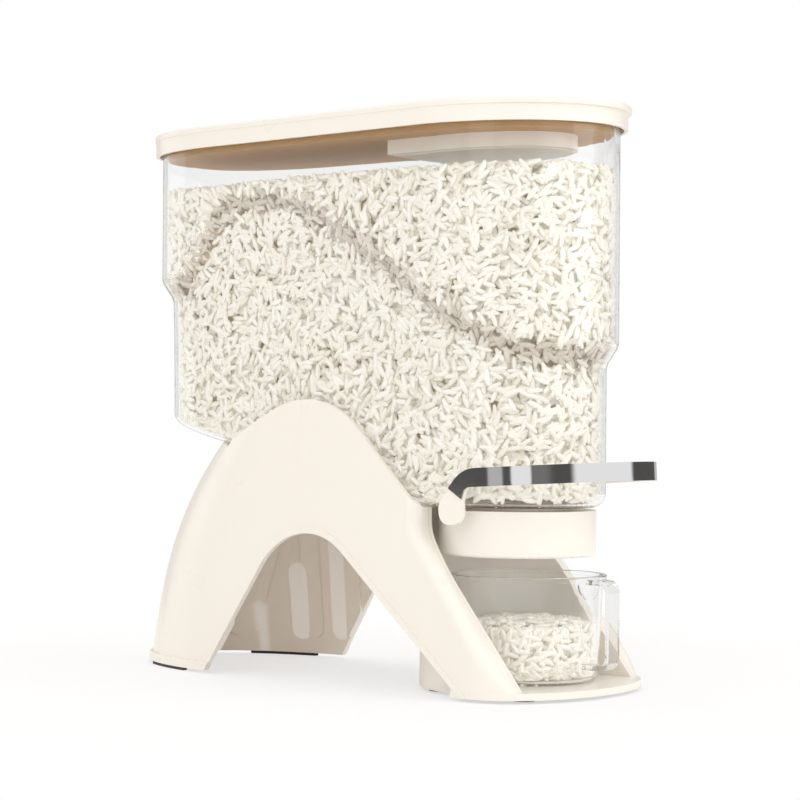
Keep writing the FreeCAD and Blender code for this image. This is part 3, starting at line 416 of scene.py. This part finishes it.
chrome = make_metal("bright_trim", CHROME, 0.03, 0.09, (1, 1, 12))
steel = make_metal("steel", STEEL, 0.2, 0.4, (1, 8, 8))
seal = make_matt("soft_seal", SEAL, (0.74, 0.71, 0.64, 1), 900.0, 0.55)
rubber = make_matt("foot_rubber", RUBBER, (0.07, 0.065, 0.06, 1), 1500.0, 0.8)
paper = make_matt("sachet_paper", PAPER, (0.7, 0.7, 0.68, 1), 1200.0, 0.9)
# the plug's painted shade
tan = make_matt("plug_painted_shade", PLUG_SHADE, (0.51, 0.29, 0.11, 1), 40.0, 0.5)
FINISHES = {"ivory_plastic": ivory, "clear_plastic": clear, "bright_trim": chrome, "steel": steel,
            "soft_seal": seal, "foot_rubber": rubber, "sachet_paper": paper}
OWN_FINISHES = {"lid_plug": tan, "stand_shell": ivory_legs}

# %% Dress the construction nodes
for entry in frame["record"]["subparts"]:
    node = frame["nodes"][entry["node"]]
    node.data.materials.clear()
    finish = OWN_FINISHES.get(entry["node"]) or FINISHES[entry["material_slot"]]
    node.data.materials.append(finish)
print("dressed", len(frame["nodes"]))

# %% [markdown]
# ## Rice
# Thousands of grains lie against the clear wall, so that is where they are needed: a few layers
# along the inside of the wall, a few on top, and one beige filling behind them, coloured as
# painted shade. A grain is a small six-sided ball, stretched and tapered. Its copies are made by
# doubling one grain inside a bmesh, and every copy then gets its own place and turn.

# %% One grain
GRAIN_LENGTH = 11.8 * MM
GRAIN_WIDTH = 3.9 * MM
GRAIN_THICKNESS = 3.0 * MM
GRAINS_PER_PIECE = 4000
STEP_LOWEST = 0.2              # below the step in the hopper's wall, in metres
rng = np.random.default_rng(7)


def grain_block(count):
    """A mesh that holds many copies of one grain in one place; an attribute numbers them."""
    bm = bmesh.new()
    number = bm.verts.layers.int.new("grain")
    bmesh.ops.create_uvsphere(bm, u_segments=6, v_segments=5, radius=0.5)
    bmesh.ops.scale(bm, vec=(GRAIN_WIDTH, GRAIN_THICKNESS, GRAIN_LENGTH), verts=bm.verts)
    copies = 1
    while copies < count:
        added = bmesh.ops.duplicate(bm, geom=bm.verts[:] + bm.edges[:] + bm.faces[:])
        for part in added["geom"]:
            if isinstance(part, bmesh.types.BMVert):
                part[number] += copies
        copies *= 2
    surplus = [vert for vert in bm.verts if vert[number] >= count]
    bmesh.ops.delete(bm, geom=surplus, context="VERTS")
    for face in bm.faces:
        face.smooth = True
    mesh = bpy.data.meshes.new("grains")
    bm.to_mesh(mesh)
    bm.free()
    return mesh


def read_values(data, field, kind, width=1):
    """One property of every element, as an array."""
    values = np.empty(len(data) * width, dtype=kind)
    data.foreach_get(field, values)
    return values.reshape(-1, width) if width > 1 else values


def grain_piece(name, places, body):
    """One visual piece: a grain at each 4 x 4 place, whose spare corner holds the grain's shade."""
    mesh = grain_block(len(places))
    number = read_values(mesh.attributes["grain"].data, "value", np.int32)
    home = read_values(mesh.vertices, "co", np.float32, 3)
    place = places[number]
    turned = np.einsum("vij,vj->vi", place[:, :3, :3], home) + place[:, :3, 3]
    mesh.vertices.foreach_set("co", turned.astype(np.float32).ravel())
    values = {"tint": rng.random(len(places))[number], "shade": place[:, 3, 0],
              "along": home[:, 2] / (GRAIN_LENGTH / 2)}
    for field, numbers in values.items():
        attribute = mesh.attributes.new(field, "FLOAT", "POINT")
        attribute.data.foreach_set("value", numbers.astype(np.float32))
    mesh.update()
    mesh.materials.append(rice_finish)
    piece = bpy.data.objects.new(name, mesh)
    scene.collection.objects.link(piece)
    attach(piece, body)


# %% [markdown]
# The finish of the rice follows each grain: its tint comes from the copy, and its tips are a
# little greyer than its milky middle. Grains that lie on the hopper's step get painted shade, since
# the step's wall faces downwards there.

# %% Rice finish
MILKY = (0.95, 0.935, 0.88, 1)
CREAM = (0.90, 0.865, 0.77, 1)
TIP = (0.80, 0.77, 0.68, 1)
# painted shade for grains on the hopper's step
STEP_SHADE = (0.52, 0.45, 0.36, 1)
INNER_LIGHT = 0.095             # painted glow, in place of light that wanders inside the milky grains
# painted shade: the colour of the rice deep in the gaps between the grains
FILLING_SHADE = (0.66, 0.55, 0.40, 1)


def make_rice():
    material, tree = new_material("rice_grain")
    tint = make(tree, "ShaderNodeAttribute", output=2, attribute_name="tint")
    along = make(tree, "ShaderNodeAttribute", output=2, attribute_name="along")
    away = along.maths("ABSOLUTE", along)
    tip = make(tree, "ShaderNodeMapRange", {0: away, 1: 0.7, 2: 1.0, 3: 0.0, 4: 0.6})
    colour = colour_mix(tree, tint, MILKY, CREAM)
    colour = colour_mix(tree, tip, colour, TIP)
    shade = make(tree, "ShaderNodeAttribute", output=2, attribute_name="shade")
    colour = colour_mix(tree, shade * 0.75, colour, STEP_SHADE)
    rough = noise(tree, 400.0) * 0.2 + 0.35
    normal = fine_bump(tree, noise(tree, 900.0), 0.15, 0.0003)
    inputs = {"Base Color": colour, "Roughness": rough, "Normal": normal, "Emission Color": colour,
              "Emission Strength": INNER_LIGHT}
    finish_surface(tree, make(tree, "ShaderNodeBsdfPrincipled", inputs))
    return material


rice_finish = make_rice()
filling_finish = make_matt("rice_filling", FILLING_SHADE, (0.58, 0.47, 0.33, 1), 300.0, 0.9)

# %% [markdown]
# ## Where the grains lie
# A grain starts at a random point of the container's inside wall. It is turned freely in the
# wall's plane and tilted a little, and it is pushed inwards until neither end comes near the wall.

# %% Places for the grains
PACKING = 0.8                  # share of a grain's length x width that one grain covers
TILT_DEGREES = 8
TIP_AT = 0.46                  # a tip's place as a share of the grain's length
TIP_CLEARANCE = 0.5 * MM
MIDDLE_CLEARANCE = 1.6 * MM
TOP_MARGIN = 0.4 * MM          # how far a grain may stick out of the rice's top
TOP_ROOM = 1.5 * MM
RIM_ROOM = 6.5 * MM
FIRST_DEPTH_MM, LAYER_DEPTH_MM, DEPTH_SPREAD_MM = 1.7, 2.4, 0.8
FLOOR_BAND = 60 * MM           # faces that look up count as floor up to here
SMALLEST_SCALE, LARGEST_SCALE = 0.85, 1.1
STEP_TURN, STEP_GAIN = 0.08, 2.5


def inside_wall(node_name, axis_from, axis_to, reach, lowest, highest):
    """Triangles of a container that face its middle line, with their tree."""
    mesh = frame["nodes"][node_name].data
    mesh.calc_loop_triangles()
    corners = read_values(mesh.vertices, "co", np.float32, 3).astype(float)
    triangles = corners[read_values(mesh.loop_triangles, "vertices", np.int32, 3)]
    square = np.cross(triangles[:, 1] - triangles[:, 0], triangles[:, 2] - triangles[:, 0])
    area = np.linalg.norm(square, axis=1) / 2
    normal = square / np.maximum(2 * area, 1e-15)[:, None]
    middle = triangles.mean(axis=1)
    nearest_y = np.clip(middle[:, 1], axis_from, axis_to)
    outward = np.stack([middle[:, 0], middle[:, 1] - nearest_y, np.zeros(len(middle))], axis=1)
    faces_in = (outward * normal).sum(axis=1) < -0.3 * np.linalg.norm(outward, axis=1)
    is_floor = (normal[:, 2] > 0.7) & (middle[:, 2] < lowest + FLOOR_BAND)
    near = (np.linalg.norm(outward, axis=1) < reach) & (middle[:, 2] > lowest)
    keep = (faces_in | is_floor) & near & (middle[:, 2] < highest) & (area > 1e-12)
    kept = triangles[keep]
    tree = BVHTree.FromPolygons([tuple(c) for c in kept.reshape(-1, 3)],
                                [(i, i + 1, i + 2) for i in range(0, 3 * len(kept), 3)])
    return kept, area[keep], normal[keep], tree


def push_in(tree, points, normals, clearance):
    """How far each point has to move inwards to stand clear of the wall."""
    missing = np.zeros(len(points))
    for i, point in enumerate(points):
        hit, square, face, gap = tree.find_nearest(point)
        depth = (Vector(point) - hit).dot(square)
        missing[i] = max(0.0, clearance - depth)
    return missing


def grain_places(tree, centres, normals, top):
    """Turn each grain in the wall's plane and push it clear of the wall."""
    count = len(centres)
    seed_axis = np.where(np.abs(normals[:, 2:]) < 0.9, [[0.0, 0.0, 1.0]], [[1.0, 0.0, 0.0]])
    side = np.cross(normals, seed_axis)
    side /= np.linalg.norm(side, axis=1)[:, None]
    other = np.cross(normals, side)
    turn = rng.random(count)[:, None] * math.tau
    tilt = np.radians(rng.normal(0, TILT_DEGREES, count))[:, None]
    long_axis = (side * np.cos(turn) + other * np.sin(turn)) * np.cos(tilt) + normals * np.sin(tilt)
    flat_axis = np.cross(long_axis, normals)
    flat_axis /= np.linalg.norm(flat_axis, axis=1)[:, None]
    third_axis = np.cross(long_axis, flat_axis)
    for attempt in range(2):
        for end in (-TIP_AT, TIP_AT):
            tips = centres + long_axis * (GRAIN_LENGTH * end)
            centres = centres + normals * push_in(tree, tips, normals, TIP_CLEARANCE)[:, None]
        short = push_in(tree, centres, normals, MIDDLE_CLEARANCE)
        centres = centres + normals * short[:, None]
    high_end = centres[:, 2] + np.abs(long_axis[:, 2]) * GRAIN_LENGTH / 2
    centres[:, 2] -= np.maximum(0, high_end - top(centres[:, 0], centres[:, 1]) - TOP_MARGIN)
    places = np.tile(np.eye(4), (count, 1, 1))
    scale = rng.uniform(SMALLEST_SCALE, LARGEST_SCALE, count)[:, None]
    places[:, :3, 0] = flat_axis * scale
    places[:, :3, 1] = third_axis * scale
    places[:, :3, 2] = long_axis * scale
    places[:, :3, 3] = centres
    # painted shade for grains on the step, whose wall faces downwards outside
    on_step = (centres[:, 2] > STEP_LOWEST) & (normals[:, 2] < 0.9)
    places[:, 3, 0] = np.clip((normals[:, 2] - STEP_TURN) * STEP_GAIN, 0, 1) * on_step
    return places


def wall_grains(wall, top, layers, cover):
    """Layers of grains along a wall, up to the rice's top."""
    triangles, area, normal, tree = wall
    per_layer = int(area.sum() * cover / (GRAIN_LENGTH * GRAIN_WIDTH * PACKING))
    found = []
    for layer in range(layers):
        pick = rng.choice(len(area), per_layer, p=area / area.sum())
        u, v = rng.random((2, per_layer))
        flip = u + v > 1
        u[flip], v[flip] = 1 - u[flip], 1 - v[flip]
        a, b, c = (triangles[pick, k] for k in range(3))
        spot = a + (b - a) * u[:, None] + (c - a) * v[:, None]
        depth = FIRST_DEPTH_MM + LAYER_DEPTH_MM * layer + rng.random(per_layer) * DEPTH_SPREAD_MM
        depth = depth * MM
        centres = spot + normal[pick] * depth[:, None]
        below = centres[:, 2] < top(centres[:, 0], centres[:, 1]) - TOP_ROOM
        found.append(grain_places(tree, centres[below], normal[pick][below], top))
    return np.concatenate(found)


def top_grains(wall, top, low, high, layers, cover):
    """Grains that lie on the rice's top."""
    tree = wall[3]
    span = np.array(high) - np.array(low)
    per_layer = int(span[0] * span[1] * cover / (GRAIN_LENGTH * GRAIN_WIDTH * PACKING))
    found = []
    for layer in range(layers):
        flat = np.array(low) + rng.random((per_layer, 2)) * span
        depth = 1.0 + LAYER_DEPTH_MM * layer + rng.random(per_layer)
        height = top(flat[:, 0], flat[:, 1]) - depth * MM
        centres = np.column_stack([flat, height])
        inside = []
        for point in centres:
            hit, square, face, gap = tree.find_nearest(point)
            inside.append(gap > RIM_ROOM and (Vector(point) - hit).dot(square) > 0)
        centres = centres[np.array(inside)]
        up_normals = np.tile([0.0, 0.0, 1.0], (len(centres), 1))
        found.append(grain_places(tree, centres, up_normals, top))
    return np.concatenate(found)


# %% Fill the hopper
HOPPER_RICE_TOP = 342.5 * MM
HOPPER_RICE_LOW = 123.1 * MM
HOPPER_HALF = (66 * MM, 200 * MM)
HOPPER_AXIS = (-100 * MM, 85 * MM)      # the middle line's ends, along y
HOPPER_LIP = 360 * MM
ANY_REACH = 1.0


def hopper_top(x, y):
    """Height of the rice in the hopper, with low mounds."""
    long_swell = 0.8 * np.sin(y / 0.031 + 0.6)
    return HOPPER_RICE_TOP + MM * (long_swell + 0.6 * np.sin(x / 0.017 + y / 0.045))


hopper_wall = inside_wall("hopper", *HOPPER_AXIS, ANY_REACH, HOPPER_RICE_LOW, HOPPER_LIP)
hopper_corner = (-HOPPER_HALF[0], -HOPPER_HALF[1])
hopper_places = np.concatenate([
    wall_grains(hopper_wall, hopper_top, 5, 1.0),
    top_grains(hopper_wall, hopper_top, hopper_corner, HOPPER_HALF, 2, 1.0)])
rng.shuffle(hopper_places)
piece_count = math.ceil(len(hopper_places) / GRAINS_PER_PIECE)
for number, places in enumerate(np.array_split(hopper_places, piece_count)):
    grain_piece(f"hopper_rice_{number + 1}", places, "hopper")
print("grains in the hopper", len(hopper_places), "in pieces", piece_count)

# %% Fill the cup
CUP_AXIS_Y = -116.8 * MM
CUP_RICE_TOP = 44.0 * MM
CUP_RICE_LOW = 8.0 * MM
CUP_REACH = 49 * MM
CUP_LIP = 70 * MM


def cup_top(x, y):
    """Height of the rice in the cup, mounded in the middle."""
    away = np.hypot(x, y - CUP_AXIS_Y) / CUP_REACH
    return CUP_RICE_TOP + MM * (4.5 * (1 - away ** 2) + 1.2 * np.sin(x / 0.009 + y / 0.013))


cup_wall = inside_wall("measuring_cup", CUP_AXIS_Y, CUP_AXIS_Y, CUP_REACH, CUP_RICE_LOW, CUP_LIP)
cup_corners = (-CUP_REACH, CUP_AXIS_Y - CUP_REACH), (CUP_REACH, CUP_AXIS_Y + CUP_REACH)
cup_places = np.concatenate([
    wall_grains(cup_wall, cup_top, 4, 1.3),
    top_grains(cup_wall, cup_top, *cup_corners, 3, 1.0)])
grain_piece("cup_rice", cup_places, "cup")
print("grains in the cup", len(cup_places))

# %% [markdown]
# ## The filling behind the grains
# A drum with a few rings is moved to stand a few millimetres inside the wall. Gaps between the
# grains show it as a warm shadow.

# %% Filling
SEGMENTS, RINGS = 72, 24
NO_WALL = 0.03                 # distance used where a ray meets no wall, in metres
LEAST_REACH = 0.004


def filling(name, wall, axis_from, axis_to, low, top, gap, body):
    """A closed body that follows a container's inside at a distance."""
    tree = wall[3]
    bm = bmesh.new()
    bmesh.ops.create_cone(bm, cap_ends=True, cap_tris=True, segments=SEGMENTS, radius1=1.0,
                          radius2=1.0, depth=1.0)
    for k in range(1, RINGS):
        everything = bm.verts[:] + bm.edges[:] + bm.faces[:]
        level = (0, 0, k / RINGS - 0.5)
        bmesh.ops.bisect_plane(bm, geom=everything, plane_co=level, plane_no=(0, 0, 1))
    for vert in bm.verts:
        share = vert.co.z + 0.5
        flat = Vector((vert.co.x, vert.co.y, 0))
        middle = Vector((0, (axis_from + axis_to) / 2 + (axis_to - axis_from) / 2 * flat.y, 0))
        spot = middle.copy()
        for attempt in range(3):
            bottom = low(spot.y) + gap
            height = bottom + (float(top(spot.x, spot.y)) - gap / 2 - bottom) * share
            if flat.length < 0.5:
                break
            start = middle + Vector((0, 0, height))
            hit, square, face, distance = tree.ray_cast(start, flat.normalized())
            spot = middle + flat.normalized() * max((distance or NO_WALL) - gap, LEAST_REACH)
        vert.co = Vector((spot.x, spot.y, height))
    for face in bm.faces:
        face.smooth = True
    mesh = bpy.data.meshes.new(name)
    bm.to_mesh(mesh)
    bm.free()
    mesh.materials.append(filling_finish)
    piece = bpy.data.objects.new(name, mesh)
    scene.collection.objects.link(piece)
    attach(piece, body)


FLOOR_BREAK_Y = -78.5 * MM
FLOOR_RISE = math.tan(math.radians(11.6))
HOPPER_GAP = 12.5 * MM
CUP_GAP = 9.0 * MM
CUP_FLOOR = 9.5 * MM


def hopper_floor(y):
    """Height of the hopper's floor, level in front and rising towards the back."""
    return HOPPER_RICE_LOW + max(y - FLOOR_BREAK_Y, 0.0) * FLOOR_RISE


def cup_floor(y):
    """Height of the cup's floor."""
    return CUP_FLOOR


filling("hopper_filling", hopper_wall, *HOPPER_AXIS, hopper_floor, hopper_top, HOPPER_GAP, "hopper")
filling("cup_filling", cup_wall, CUP_AXIS_Y, CUP_AXIS_Y, cup_floor, cup_top, CUP_GAP, "cup")
print("fillings done")
